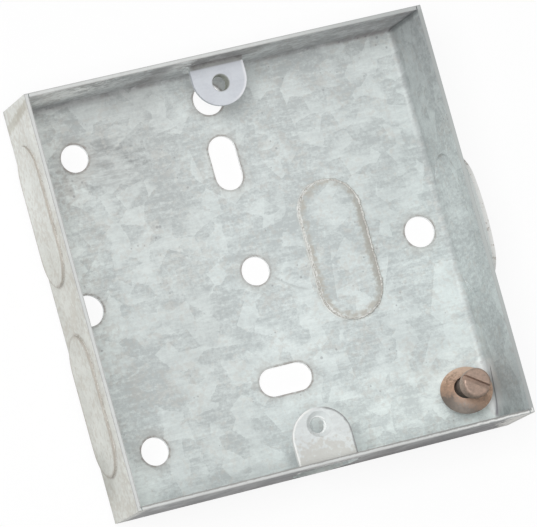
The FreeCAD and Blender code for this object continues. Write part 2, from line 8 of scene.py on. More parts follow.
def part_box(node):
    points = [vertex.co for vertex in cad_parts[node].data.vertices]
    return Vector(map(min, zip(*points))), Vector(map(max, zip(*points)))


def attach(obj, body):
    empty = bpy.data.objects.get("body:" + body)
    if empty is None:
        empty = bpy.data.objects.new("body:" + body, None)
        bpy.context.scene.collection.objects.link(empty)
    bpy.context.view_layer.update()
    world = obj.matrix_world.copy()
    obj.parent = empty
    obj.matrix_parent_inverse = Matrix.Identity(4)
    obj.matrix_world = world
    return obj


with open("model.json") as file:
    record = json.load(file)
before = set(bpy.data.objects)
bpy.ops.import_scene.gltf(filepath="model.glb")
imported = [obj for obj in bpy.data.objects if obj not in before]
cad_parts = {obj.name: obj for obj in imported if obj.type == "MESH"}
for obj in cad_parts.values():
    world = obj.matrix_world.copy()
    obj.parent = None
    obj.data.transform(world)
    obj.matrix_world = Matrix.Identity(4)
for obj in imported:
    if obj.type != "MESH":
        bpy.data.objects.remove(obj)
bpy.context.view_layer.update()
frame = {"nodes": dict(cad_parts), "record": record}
nodes = frame["nodes"]
mounts = {mount["name"]: mount for mount in frame["record"]["mounts"]}

MM = 0.001
BODY = "root"

# Sizes in millimetres, from the frame
SHELL_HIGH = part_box("box_shell")[1] / MM
SHEET = mounts["centre_hole"]["dims"]["length_mm"]
BOX_HALF = SHELL_HIGH.y
INNER_WALL = BOX_HALF - SHEET
RIM_HEIGHT = SHELL_HIGH.z

# Sizes in millimetres that the frame doesn't hold, the same as the solids have
KNOCKOUT_LENGTH = 24.4
KNOCKOUT_WIDTH = 11.3
BASE_KNOCKOUT_WIDTH = 11.1
BASE_KNOCKOUT_SHEAR = 0.3
SLOT_LENGTH = 9.5
SLOT_WIDTH = 4.9
TOP_LUG_WIDTH = 9.6
TOP_LUG_REACH = 7.7
BOTTOM_LUG_WIDTH = 10.6
BOTTOM_LUG_REACH = 9.4
FUNNEL_DEPTH = 0.8
SCREW_RADIUS = 1.75
SCREW_HEAD_BASE = 7.1

# Where the lugs' tips are along Y, in millimetres
TOP_LUG_TIP = INNER_WALL - TOP_LUG_REACH
BOTTOM_LUG_TIP = BOTTOM_LUG_REACH - INNER_WALL

# Plain zinc, where it is dull and where it is bright
DULL_ZINC = (0.50, 0.54, 0.54)
BRIGHT_ZINC = (0.75, 0.81, 0.80)


def place_of(mount):
    """Place of a mount in millimetres."""
    return Vector(mounts[mount]["pos_m"]) / MM


# Heights of the lugs' front faces; only the bottom lug has a funnel above its thread
TOP_LUG = place_of("top_lug_thread").z + mounts["top_lug_thread"]["dims"]["length_mm"] / 2
BOTTOM_LUG = (place_of("bottom_lug_thread").z + mounts["bottom_lug_thread"]["dims"]["length_mm"] / 2
              + FUNNEL_DEPTH)


# Small helpers for node trees


def add_node(tree, kind, inputs=None, **settings):
    """Add a node, set its properties, and set or link its inputs."""
    node = tree.nodes.new(kind)
    for name, value in settings.items():
        setattr(node, name, value)
    for key, value in (inputs or {}).items():
        if isinstance(value, bpy.types.NodeSocket):
            tree.links.new(value, node.inputs[key])
        else:
            node.inputs[key].default_value = value
    return node


def calc(tree, operation, first, second=0.0, third=0.0):
    """Number worked out by a Math node."""
    inputs = {0: first, 1: second, 2: third}
    return add_node(tree, "ShaderNodeMath", inputs, operation=operation).outputs[0]


def calc_vector(tree, operation, first, second=None, scale=None):
    """Vector worked out by a Vector Math node."""
    inputs = {0: first}
    if second is not None:
        inputs[1] = second
    if scale is not None:
        inputs["Scale"] = scale
    return add_node(tree, "ShaderNodeVectorMath", inputs, operation=operation)


def blend_colour(tree, factor, under, over, kind="MIX"):
    """Colour with another laid over it."""
    inputs = {0: factor, 6: under, 7: over}
    mix = add_node(tree, "ShaderNodeMix", inputs, data_type="RGBA", blend_type=kind)
    return mix.outputs[2]


def remap(tree, value, low, high, to_low=0.0, to_high=1.0):
    """Number moved from one range to another, held inside it."""
    inputs = {"Value": value, "From Min": low, "From Max": high, "To Min": to_low, "To Max": to_high}
    return add_node(tree, "ShaderNodeMapRange", inputs, clamp=True).outputs[0]


def product(tree, *factors):
    """Product of several numbers."""
    result = factors[0]
    for factor in factors[1:]:
        result = calc(tree, "MULTIPLY", result, factor)
    return result


def band(tree, value, low, high, soft):
    """1 between two limits and 0 outside, with soft edges."""
    rise = remap(tree, value, low - soft, low + soft)
    fall = remap(tree, value, high - soft, high + soft, 1.0, 0.0)
    return calc(tree, "MULTIPLY", rise, fall)


def noise(tree, vector, scale, detail=3.0, roughness=0.55, distortion=0.0):
    """Noise texture; its mean is about 0.5."""
    inputs = {"Vector": vector, "Scale": scale, "Detail": detail, "Roughness": roughness,
              "Distortion": distortion}
    return add_node(tree, "ShaderNodeTexNoise", inputs)


def rgba(colour):
    """Colour with full opacity."""
    return (*colour, 1.0)


def new_group(name, kind, inputs, outputs):
    """Node group with named sockets; an input is its name, type and default."""
    tree = bpy.data.node_groups.new(name, kind)
    for socket, socket_type, default in inputs:
        made = tree.interface.new_socket(name=socket, in_out="INPUT", socket_type=socket_type)
        if default is not None:
            made.default_value = default
    for socket, socket_type in outputs:
        tree.interface.new_socket(name=socket, in_out="OUTPUT", socket_type=socket_type)
    return tree, tree.nodes.new("NodeGroupInput").outputs, tree.nodes.new("NodeGroupOutput").inputs


def use_group(tree, group, inputs):
    """Outputs of a shader group that is placed in a tree with its own values."""
    return add_node(tree, "ShaderNodeGroup", inputs, node_tree=group).outputs


# Shader groups that are used more than once


def crystal_group():
    """Angular zinc crystals: each has its own tone, which fades across it in its own direction."""
    tree, given, made = new_group(
        "crystals", "ShaderNodeTree",
        [("Place", "NodeSocketVector", None), ("Size", "NodeSocketFloat", 8.0),
         ("Stretch", "NodeSocketVector", (1.0, 1.0, 1.0)), ("Fade", "NodeSocketFloat", 1.0)],
        [("Tone", "NodeSocketFloat")])
    wobble = noise(tree, given["Place"], 1.4, detail=3.0).outputs["Color"]
    wobble = calc_vector(tree, "SUBTRACT", wobble, (0.5, 0.5, 0.5)).outputs[0]
    wobble = calc_vector(tree, "SCALE", wobble, scale=0.55).outputs[0]
    spot = calc_vector(tree, "ADD", given["Place"], wobble).outputs[0]
    spot = calc_vector(tree, "MULTIPLY", spot, given["Stretch"]).outputs[0]
    cells = add_node(tree, "ShaderNodeTexVoronoi",
                     {"Vector": spot, "Scale": calc(tree, "DIVIDE", 1.0, given["Size"])})
    from_middle = calc_vector(tree, "SUBTRACT", spot, cells.outputs["Position"]).outputs[0]
    heading = calc_vector(tree, "SUBTRACT", cells.outputs["Color"], (0.5, 0.5, 0.5)).outputs[0]
    slope = calc_vector(tree, "DOT_PRODUCT", from_middle, heading).outputs["Value"]
    slope = calc(tree, "DIVIDE", slope, given["Size"])
    own = add_node(tree, "ShaderNodeSeparateColor", {"Color": cells.outputs["Color"]}).outputs[1]
    tree.links.new(calc(tree, "MULTIPLY_ADD", slope, given["Fade"], own), made["Tone"])
    return tree


def rub_group():
    """Fine rubbed lines along one direction, and scattered dark specks."""
    tree, given, made = new_group(
        "rubs", "ShaderNodeTree",
        [("Place", "NodeSocketVector", None), ("Stretch", "NodeSocketVector", (0.08, 1.0, 1.0)),
         ("Scale", "NodeSocketFloat", 3.0)],
        [("Lines", "NodeSocketFloat"), ("Specks", "NodeSocketFloat")])
    drawn_out = calc_vector(tree, "MULTIPLY", given["Place"], given["Stretch"]).outputs[0]
    lines = noise(tree, drawn_out, given["Scale"], detail=4.0, roughness=0.65).outputs[0]
    tree.links.new(remap(tree, lines, 0.3, 0.7), made["Lines"])
    dots = add_node(tree, "ShaderNodeTexVoronoi", {"Vector": given["Place"], "Scale": 0.75})
    few = noise(tree, given["Place"], 0.16, detail=1.0).outputs[0]
    size = remap(tree, few, 0.45, 0.75, 0.0, 0.26)
    speck = remap(tree, calc(tree, "SUBTRACT", size, dots.outputs["Distance"]), 0.0, 0.08)
    tree.links.new(speck, made["Specks"])
    return tree


def tarnish_group():
    """Cloudy tarnish, from clean to dull, with a finer mottle in it."""
    tree, given, made = new_group(
        "tarnish", "ShaderNodeTree",
        [("Place", "NodeSocketVector", None), ("Scale", "NodeSocketFloat", 0.3),
         ("Mottle", "NodeSocketFloat", 0.4)],
        [("Cloud", "NodeSocketFloat"), ("Grain", "NodeSocketFloat")])
    cloud = noise(tree, given["Place"], given["Scale"], detail=4.0, roughness=0.6, distortion=0.6)
    fine = calc(tree, "MULTIPLY", given["Scale"], 7.0)
    grain = noise(tree, given["Place"], fine, detail=3.0).outputs[0]
    tilt = calc(tree, "SUBTRACT", grain, 0.5)
    cloudy = calc(tree, "MULTIPLY_ADD", tilt, given["Mottle"], cloud.outputs[0])
    tree.links.new(remap(tree, cloudy, 0.3, 0.7), made["Cloud"])
    tree.links.new(grain, made["Grain"])
    return tree


def obround_group():
    """Distance from the outline of an obround, less than 0 inside; its length runs along the second
    coordinate."""
    tree, given, made = new_group(
        "obround_outline", "ShaderNodeTree",
        [("Across", "NodeSocketFloat", 0.0), ("Along", "NodeSocketFloat", 0.0),
         ("Length", "NodeSocketFloat", 20.0), ("Width", "NodeSocketFloat", 10.0)],
        [("Distance", "NodeSocketFloat")])
    straight = calc(tree, "SUBTRACT", given["Length"], given["Width"])
    half_straight = calc(tree, "MULTIPLY", straight, 0.5)
    past_end = calc(tree, "SUBTRACT", calc(tree, "ABSOLUTE", given["Along"]), half_straight)
    past_end = calc(tree, "MAXIMUM", past_end, 0.0)
    corner = add_node(tree, "ShaderNodeCombineXYZ", {0: given["Across"], 1: past_end}).outputs[0]
    reach = calc_vector(tree, "LENGTH", corner).outputs["Value"]
    off = calc(tree, "SUBTRACT", reach, calc(tree, "MULTIPLY", given["Width"], 0.5))
    tree.links.new(off, made["Distance"])
    return tree


CRYSTALS = crystal_group()
RUBS = rub_group()
TARNISH = tarnish_group()
OBROUND = obround_group()


# Finishes


def new_material(name):
    """Node material, with its tree, its main shader and the place on the piece in millimetres."""
    material = bpy.data.materials.new(name)
    material.use_nodes = True
    tree = material.node_tree
    shader = tree.nodes["Principled BSDF"]
    spot = add_node(tree, "ShaderNodeTexCoord").outputs["Object"]
    place = calc_vector(tree, "SCALE", spot, scale=1 / MM).outputs[0]
    return material, tree, shader, place


def sheet_areas(tree, place):
    """Masks, 0 to 1, for the areas of the folded sheet that look different, and the place itself."""
    x, y, z = add_node(tree, "ShaderNodeSeparateXYZ", {0: place}).outputs
    normal = add_node(tree, "ShaderNodeNewGeometry").outputs["Normal"]
    nx, ny, nz = add_node(tree, "ShaderNodeSeparateXYZ", {0: normal}).outputs
    across = calc(tree, "ABSOLUTE", x)
    upright = calc(tree, "ABSOLUTE", y)
    from_middle = calc(tree, "MAXIMUM", across, upright)
    faces_front = remap(tree, nz, 0.5, 0.85)
    deep = band(tree, z, SHEET - 0.3, SHEET + BASE_KNOCKOUT_SHEAR + 0.2, 0.1)
    low_down = remap(tree, z, SHEET, SHEET + 2.2, 1.0, 0.0)
    steep = remap(tree, calc(tree, "ABSOLUTE", nz), 0.3, 0.5, 1.0, 0.0)
    terminal = place_of("earth_terminal")
    return {
        "x": x, "y": y, "z": z, "from middle": from_middle,
        "base": product(tree, deep, faces_front),
        "rim": product(tree, remap(tree, z, RIM_HEIGHT - 0.1, RIM_HEIGHT - 0.02), faces_front),
        "rim edge": calc(tree, "MAXIMUM",
                         remap(tree, from_middle, INNER_WALL + 0.2, INNER_WALL + 0.05),
                         remap(tree, from_middle, BOX_HALF - 0.2, BOX_HALF - 0.05)),
        "outside left": product(tree, remap(tree, x, -BOX_HALF + 0.15, -BOX_HALF),
                                remap(tree, nx, -0.5, -0.8)),
        "left step": product(tree, remap(tree, x, -BOX_HALF + 0.02, -BOX_HALF - 0.03),
                             remap(tree, nx, -0.8, -0.5)),
        "outside bottom": product(tree, remap(tree, y, -BOX_HALF + 0.9, -BOX_HALF + 0.5),
                                  remap(tree, ny, -0.25, -0.6)),
        "inside top": product(tree, remap(tree, y, INNER_WALL - 1.0, INNER_WALL - 0.3),
                              remap(tree, ny, -0.4, -0.8)),
        "inside right": product(tree, remap(tree, x, INNER_WALL - 1.0, INNER_WALL - 0.3),
                                remap(tree, nx, -0.4, -0.8)),
        "corner seam": product(tree, remap(tree, x, INNER_WALL - 0.9, INNER_WALL - 0.4),
                               remap(tree, y, INNER_WALL - 0.9, INNER_WALL - 0.4)),
        "slug edge": product(tree, remap(tree, x, BOX_HALF - 0.05, BOX_HALF + 0.05), faces_front),
        "slug inside": product(tree, remap(tree, x, BOX_HALF + 1.0, BOX_HALF + 1.5),
                               remap(tree, nx, -0.3, -0.6)),
        "towards right": remap(tree, x, 8.0, 30.0),
        "wall ends": remap(tree, upright, 12.0, 30.0),
        "hole wall": product(tree, steep, remap(tree, z, SHEET - 0.02, SHEET - 0.1),
                             remap(tree, from_middle, INNER_WALL - 1.0, INNER_WALL - 1.2)),
        "fold": product(tree, remap(tree, from_middle, INNER_WALL - 1.4, INNER_WALL - 0.4), low_down),
        "fold by terminal": product(tree, band(tree, x, INNER_WALL - 1.3, BOX_HALF - 0.4, 0.3),
                                    band(tree, y, terminal.y - 4.8, terminal.y + 3.7, 1.2),
                                    remap(tree, z, 5.5, 3.0)),
        "top lug": product(tree, band(tree, z, TOP_LUG - 1.2, TOP_LUG + 0.3, 0.2),
                           band(tree, y, TOP_LUG_TIP - 0.8, INNER_WALL - 0.8, 0.15),
                           remap(tree, across, TOP_LUG_WIDTH / 2 + 0.6, TOP_LUG_WIDTH / 2 + 0.4)),
        "above top lug": product(tree, remap(tree, y, INNER_WALL - 1.05, INNER_WALL - 0.75),
                                 remap(tree, ny, 0.2, 0.0),
                                 band(tree, z, TOP_LUG - 0.1, RIM_HEIGHT - 0.2, 0.1)),
        "bottom lug": product(tree, band(tree, z, BOTTOM_LUG - 1.2, BOTTOM_LUG + 0.3, 0.2),
                              remap(tree, y, BOTTOM_LUG_TIP + 0.9, BOTTOM_LUG_TIP + 0.4),
                              remap(tree, across, BOTTOM_LUG_WIDTH / 2 + 0.6, BOTTOM_LUG_WIDTH / 2 + 0.4)),
        "under bottom lug": product(tree, band(tree, x, -5.0, 6.5, 0.4),
                                    remap(tree, y, -INNER_WALL + 1.4, -INNER_WALL + 1.0),
                                    remap(tree, z, 4.0, 3.0)),
    }


def obround_distance(tree, across, along, length, width):
    """Distance from the outline of an obround, less than 0 inside."""
    inputs = {"Across": across, "Along": along, "Length": length, "Width": width}
    return use_group(tree, OBROUND, inputs)["Distance"]


def lug_edge_distance(tree, area, width, tip):
    """Distance from the outline of a lug, less than 0 on the lug; its tip is at the given Y."""
    beyond_wall = 30.0
    along = calc(tree, "SUBTRACT", area["y"], tip + math.copysign(beyond_wall / 2, tip))
    return obround_distance(tree, area["x"], along, beyond_wall, width)


def lug_bore(tree, place, area, name):
    """1 inside the tapped bore of a lug, 0 elsewhere."""
    middle = place_of(name)
    sizes = mounts[name]["dims"]
    half = sizes["length_mm"] / 2
    flat = calc_vector(tree, "MULTIPLY", place, (1.0, 1.0, 0.0)).outputs[0]
    reach = calc_vector(tree, "DISTANCE", flat, (middle.x, middle.y, 0.0)).outputs["Value"]
    return product(tree, remap(tree, reach, sizes["r_mm"] + 0.15, sizes["r_mm"] + 0.05),
                   band(tree, area["z"], middle.z - half, middle.z + half, 0.1))


def scratch(tree, area):
    """Thin curved scratch in the base beside the centre hole."""
    curve_middle = (12.74, 8.02, 0.0)
    curve_radius = 13.86
    flat = add_node(tree, "ShaderNodeCombineXYZ", {0: area["x"], 1: area["y"]}).outputs[0]
    reach = calc_vector(tree, "DISTANCE", flat, curve_middle).outputs["Value"]
    off = calc(tree, "ABSOLUTE", calc(tree, "SUBTRACT", reach, curve_radius))
    return product(tree, area["base"], remap(tree, off, 0.3, 0.05), band(tree, area["x"], 2.6, 8.4, 0.6),
                   remap(tree, area["y"], 0.0, -0.6))


def hole_edge_distance(tree, place, area):
    """Distance from the nearest round hole or slot in the base."""
    along_upright = calc(tree, "SUBTRACT", area["y"], place_of("upright_slot").y)
    across_level = calc(tree, "SUBTRACT", area["y"], place_of("level_slot").y)
    nearest = calc(tree, "MINIMUM",
                   obround_distance(tree, area["x"], along_upright, SLOT_LENGTH, SLOT_WIDTH),
                   obround_distance(tree, across_level, area["x"], SLOT_LENGTH, SLOT_WIDTH))
    flat = calc_vector(tree, "MULTIPLY", place, (1.0, 1.0, 0.0)).outputs[0]
    for name in ("centre_hole", "side_holes_level", "upper_side_hole", "corner_holes"):
        sizes = mounts[name]["dims"]
        radius = sizes.get("r_mm", sizes.get("hole_r_mm"))
        step = Vector((sizes.get("spacing_x_mm", 0.0), sizes.get("spacing_y_mm", 0.0), 0.0)) / 2
        sides = (-1, 1) if step.length else (0,)
        for side in sides:
            middle = place_of(name) + side * step
            reach = calc_vector(tree, "DISTANCE", flat, middle).outputs["Value"]
            nearest = calc(tree, "MINIMUM", nearest, calc(tree, "SUBTRACT", reach, radius))
    return nearest


def zinc_tone(tree, place):
    """Tone of the zinc, 0 dark to 1 light: dull crystals of two sizes among bright ones, rubbed streaks."""
    large = use_group(tree, CRYSTALS, {"Place": place, "Size": 8.0, "Stretch": (1.0, 0.75, 1.0),
                                       "Fade": 3.2})["Tone"]
    shifted = calc_vector(tree, "ADD", place, (31.0, 17.0, 5.0)).outputs[0]
    small = use_group(tree, CRYSTALS, {"Place": shifted, "Size": 3.5, "Stretch": (0.8, 1.0, 0.8),
                                       "Fade": 3.0})["Tone"]
    rubs = use_group(tree, RUBS, {"Place": place, "Stretch": (0.2, 1.0, 0.4), "Scale": 1.5})
    broad = use_group(tree, TARNISH, {"Place": place, "Scale": 0.05, "Mottle": 0.5})["Cloud"]
    grain = noise(tree, place, 2.0, detail=3.0, roughness=0.7).outputs[0]
    dull = calc(tree, "MAXIMUM", remap(tree, large, 0.45, 0.1), remap(tree, small, 0.4, 0.05, 0.0, 0.85))
    tone = calc(tree, "MULTIPLY_ADD", dull, -0.23, 0.4)
    tone = calc(tree, "MULTIPLY_ADD", broad, 0.24, tone)
    for part, on_bright, on_dull in ((rubs["Lines"], 0.22, 0.4), (grain, 0.46, 0.9)):
        swing = calc(tree, "SUBTRACT", part, 0.5)
        tone = calc(tree, "MULTIPLY_ADD", swing, remap(tree, dull, 0.0, 1.0, on_bright, on_dull), tone)
    return tone, rubs


class ZincCoat:
    """Zinc of the folded sheet: its areas, its natural unevenness, and its colour so far."""

    def __init__(self, tree, place):
        self.tree = tree
        self.place = place
        self.area = sheet_areas(tree, place)
        self.tone, self.rubs = zinc_tone(tree, place)
        self.cloud = use_group(tree, TARNISH, {"Place": place, "Scale": 0.16, "Mottle": 1.2})["Cloud"]
        self.wander = calc(tree, "SUBTRACT", self.cloud, 0.5)
        crumbs = noise(tree, place, 1.1, detail=4.0, roughness=0.7).outputs[0]
        self.ragged = calc(tree, "SUBTRACT", crumbs, 0.5)
        lightness = remap(tree, self.tone, 0.16, 0.7)
        self.colour = blend_colour(tree, lightness, rgba(DULL_ZINC), rgba(BRIGHT_ZINC))

    def lay(self, colour, *masks, share=1.0, kind="MIX"):
        """Lay one colour over the zinc where all the masks are."""
        factor = calc(self.tree, "MULTIPLY", product(self.tree, *masks), share)
        self.colour = blend_colour(self.tree, factor, self.colour, rgba(colour), kind)

    def shade(self, colour, *masks, share=1.0):
        """Multiply the zinc by one colour where all the masks are; numbers over 1 make it lighter."""
        self.lay(colour, *masks, share=share, kind="MULTIPLY")

    def ramp(self, axis, low, high, to_low=0.0, to_high=1.0):
        """Ramp along one axis of the box."""
        return remap(self.tree, self.area[axis], low, high, to_low, to_high)

    def within(self, axis, low, high, soft):
        """Band along one axis of the box."""
        return band(self.tree, self.area[axis], low, high, soft)

    def stray(self, value, wander=0.0, ragged=0.0):
        """Number that strays with the cloudy and the ragged unevenness of the zinc."""
        for part, reach in ((self.wander, wander), (self.ragged, ragged)):
            if reach:
                value = calc(self.tree, "MULTIPLY_ADD", part, reach, value)
        return value


def mark_base(coat):
    """Greyer to the top as painted shade, and greyer to the left; painted light by the left wall and by the
    terminal against their shadows; brown clouds and specks.
    """
    base = coat.area["base"]
    to_left = coat.stray(coat.area["x"], wander=8.0)
    # Painted shade: greyer towards the top
    coat.shade((0.97, 0.945, 0.94), coat.ramp("y", 0.0, 34.0), share=0.7)
    coat.shade((0.80, 0.77, 0.76), base, band(coat.tree, to_left, -28.0, -8.0, 3.0), share=0.35)
    # Painted light on the base along the left wall, against the shade the wall casts
    coat.shade((1.26, 1.23, 1.21), base, coat.ramp("x", -24.0, -31.0))
    streaks = remap(coat.tree, coat.rubs["Lines"], 0.2, 0.7, 1.0, 0.4)
    coat.shade((0.70, 0.685, 0.685), base, band(coat.tree, to_left, -26.5, -16.0, 2.5),
               coat.within("y", 20.0, 28.0, 2.5), streaks)
    coat.shade((0.93, 0.93, 0.93), base, coat.ramp("x", 17.0, 23.0), coat.within("y", -1.0, 18.0, 5.0))
    # Painted light on the base towards the terminal and under the bottom lug, against their shadows
    coat.shade((1.16, 1.16, 1.15), base, coat.ramp("x", 0.0, 8.0), coat.ramp("y", -20.0, -28.0))
    coat.lay((0.56, 0.53, 0.49), remap(coat.tree, coat.cloud, 0.6, 1.0), share=0.3)
    coat.lay((0.26, 0.26, 0.27), coat.rubs["Specks"], share=0.5)


def mark_holes(coat):
    """Brown halo round the holes and slots of the base, with patches of dark burr at their edges."""
    base = coat.area["base"]
    hole_edge = hole_edge_distance(coat.tree, coat.place, coat.area)
    halo = remap(coat.tree, coat.stray(hole_edge, wander=2.2), 1.6, 0.0)
    coat.lay((0.42, 0.39, 0.36), base, halo, share=0.3)
    burr = remap(coat.tree, coat.stray(hole_edge, ragged=0.8), 0.45, 0.15)
    patches = remap(coat.tree, coat.cloud, 0.3, 0.7, 0.3, 1.0)
    coat.lay((0.30, 0.27, 0.25), base, burr, patches, share=0.8)


def mark_base_knockout(coat):
    """Brown smear inside the sheared outline, with painted shade on its right side; its line painted dark at
    the right as shade and pale at the left as a highlight; a scratch.
    """
    tree = coat.tree
    base = coat.area["base"]
    middle = place_of("base_knockout")
    to_right = calc(tree, "SUBTRACT", coat.area["x"], middle.x)
    upwards = calc(tree, "SUBTRACT", coat.area["y"], middle.y)
    outline = obround_distance(tree, to_right, upwards, KNOCKOUT_LENGTH, BASE_KNOCKOUT_WIDTH)
    smear = coat.stray(outline, ragged=2.4)
    patches = remap(tree, coat.cloud, 0.2, 0.7, 0.35, 1.0)
    coat.lay((0.47, 0.452, 0.405), base, band(tree, smear, -1.0, 0.2, 0.4), patches, share=0.85)
    # Painted shade: the smear darker on its right side
    coat.lay((0.36, 0.352, 0.322), base, band(tree, smear, -1.0, 0.1, 0.3), remap(tree, to_right, 2.5, 5.0),
             share=0.6)
    line = band(tree, coat.stray(outline, ragged=0.8), -0.2, 0.25, 0.12)
    # Painted shade on the line at the right, and a painted highlight on it at the left
    coat.lay((0.28, 0.26, 0.24), base, line, remap(tree, to_right, -1.0, 3.0), share=0.6)
    coat.lay((0.92, 0.92, 0.90), base, line, remap(tree, to_right, 1.0, -3.0), share=0.7)
    coat.lay((0.34, 0.35, 0.34), scratch(tree, coat.area), share=0.3)


def mark_left_wall(coat):
    """Outside of the left wall: warm and stained, with brown lines round its two knockouts."""
    tree = coat.tree
    outside = coat.area["outside left"]
    coat.lay((0.70, 0.69, 0.63), outside, share=0.65)
    coat.lay((0.48, 0.45, 0.39), outside, remap(tree, coat.cloud, 0.35, 0.9), share=0.4)
    coat.lay((0.42, 0.38, 0.33), coat.area["left step"], share=0.8)
    middle = place_of("left_upper_knockout")
    across = calc(tree, "SUBTRACT", coat.area["z"], middle.z)
    along = calc(tree, "SUBTRACT", calc(tree, "ABSOLUTE", coat.area["y"]), middle.y)
    outline = obround_distance(tree, across, along, KNOCKOUT_LENGTH, KNOCKOUT_WIDTH)
    line = coat.stray(calc(tree, "ABSOLUTE", outline), ragged=0.9)
    coat.lay((0.36, 0.32, 0.27), outside, remap(tree, line, 0.5, 0.05),
             coat.ramp("y", 27.0, 22.0, 0.2, 1.0), share=0.6)
    coat.shade((1.12, 1.13, 1.15), outside, coat.ramp("y", 9.0, 16.0))
    slanting = calc(tree, "MULTIPLY_ADD", coat.area["z"], -0.125, coat.stray(coat.area["y"], ragged=2.0))
    coat.shade((0.80, 0.78, 0.74), outside, band(tree, slanting, 31.6, 33.2, 0.3))
    coat.shade((0.80, 0.80, 0.79), outside, coat.within("y", -32.0, -24.0, 1.5), coat.ramp("z", 11.0, 5.0))


def mark_top_wall(coat):
    """Inside of the top wall: patchy grey, pale at the left, painted shade above the lug and at its root,
    darker to the right.
    """
    tree = coat.tree
    inside = coat.area["inside top"]
    shade_above_lug = coat.area["above top lug"]
    coat.shade((0.95, 0.91, 0.92), inside, share=0.8)
    coat.shade((0.56, 0.54, 0.55), inside, remap(tree, coat.cloud, 0.3, 0.7), share=0.4)
    to_left = coat.stray(coat.area["x"], wander=8.0)
    coat.shade((1.65, 1.62, 1.59), inside, remap(tree, to_left, -19.0, -27.0), coat.ramp("z", 3.0, 8.0))
    beside_lug = coat.stray(coat.area["x"], wander=2.0, ragged=3.0)
    coat.shade((0.77, 0.75, 0.76), inside, band(tree, beside_lug, -12.8, -8.8, 1.2))
    streaks = remap(tree, coat.rubs["Lines"], 0.2, 0.6, 0.4, 1.0)
    coat.shade((1.5, 1.49, 1.47), inside, band(tree, beside_lug, -8.6, -5.2, 0.8),
               coat.ramp("z", 7.5, 10.5), streaks)
    # Painted shade on the wall above the lug and on the bend at its root
    coat.shade((0.66, 0.64, 0.63), shade_above_lug, band(tree, beside_lug, -5.0, 7.5, 1.0))
    coat.shade((0.72, 0.71, 0.71), shade_above_lug,
               coat.within("x", -TOP_LUG_WIDTH / 2, TOP_LUG_WIDTH / 2, 0.15),
               coat.ramp("z", TOP_LUG + 1.2, TOP_LUG + 0.7))
    coat.shade((0.82, 0.80, 0.81), inside, coat.area["towards right"])


def mark_right_wall(coat):
    """Right wall: darker inside towards its ends and in its top corner; a pale prised-out slug, its inner
    face lightened further as painted light against its shade.
    """
    area = coat.area
    coat.shade((0.78, 0.78, 0.79), area["inside right"], area["wall ends"])
    coat.shade((0.35, 0.35, 0.36), area["corner seam"], share=0.6)
    # Pale zinc on the slug's inner face, pushed lighter as painted light against the wall's shade
    coat.lay((0.94, 0.95, 0.94), area["slug inside"], share=0.9)
    coat.lay((0.72, 0.72, 0.70), area["slug edge"], share=0.9)
    coat.lay((0.36, 0.32, 0.28), area["slug edge"], remap(coat.tree, coat.ragged, 0.06, 0.14), share=0.7)


def mark_bottom_wall(coat):
    """Outside of the bottom wall: painted shade, darkest towards the back, and darker to the right; pale at
    its corners and by its lug; painted shade on the fold under the lug.
    """
    tree = coat.tree
    outside = coat.area["outside bottom"]
    # Painted shade over the outside, darkest towards the back edge
    coat.shade((0.40, 0.37, 0.38), outside, coat.ramp("z", 1.0, RIM_HEIGHT, 1.0, 0.7))
    coat.shade((0.62, 0.61, 0.62), outside, coat.area["towards right"], share=0.6)
    coat.shade((0.85, 0.84, 0.84), outside, coat.ramp("x", -24.0, -10.0))
    coat.shade((0.88, 0.88, 0.88), outside, coat.within("x", 6.0, 23.0, 3.0))
    slanting = coat.stray(coat.area["x"], wander=3.0, ragged=4.0)
    slanting = calc(tree, "MULTIPLY_ADD", coat.area["z"], 0.25, slanting)
    coat.lay((0.78, 0.77, 0.73), outside, remap(tree, slanting, 33.6, 35.8), share=0.8)
    coat.lay((0.72, 0.72, 0.68), outside, coat.ramp("x", -33.6, -35.0), share=0.8)
    # Painted shade on the fold under the bottom lug
    coat.shade((0.72, 0.71, 0.70), coat.area["under bottom lug"])
    coat.lay((0.80, 0.80, 0.78), outside, coat.within("x", -4.5, 4.5, 2.0), coat.ramp("z", 9.5, 12.0),
             remap(tree, coat.ragged, -0.06, 0.08), share=0.6)


def mark_folds(coat):
    """Painted shade in the folds round the base, deeper on the top fold at the left; painted light on the
    fold by the terminal, and a dark line rising on the right wall there.
    """
    tree = coat.tree
    area = coat.area
    # Painted shade in the folds, deeper on the top fold at the left
    coat.shade((0.62, 0.60, 0.60), area["fold"], share=0.35)
    coat.shade((0.70, 0.68, 0.69), area["fold"], coat.ramp("y", 33.0, 34.0), coat.ramp("x", -10.0, -20.0),
               share=0.8)
    # Painted light on the fold by the terminal, against the shadow of the washer and screw
    coat.lay((0.84, 0.85, 0.85), area["fold by terminal"], share=0.85)
    # Dark line rising along the right wall by the terminal
    dark_line_slope = 0.26
    dark_line_height = 9.73
    level = calc(tree, "MULTIPLY_ADD", area["y"], -dark_line_slope, area["z"])
    off_dark_line = calc(tree, "ABSOLUTE", calc(tree, "SUBTRACT", level, dark_line_height))
    coat.lay((0.20, 0.18, 0.21), coat.within("x", INNER_WALL - 0.7, BOX_HALF - 0.4, 0.2),
             coat.within("y", -34.0, -25.5, 0.4), remap(tree, off_dark_line, 0.3, 0.1), share=0.75)


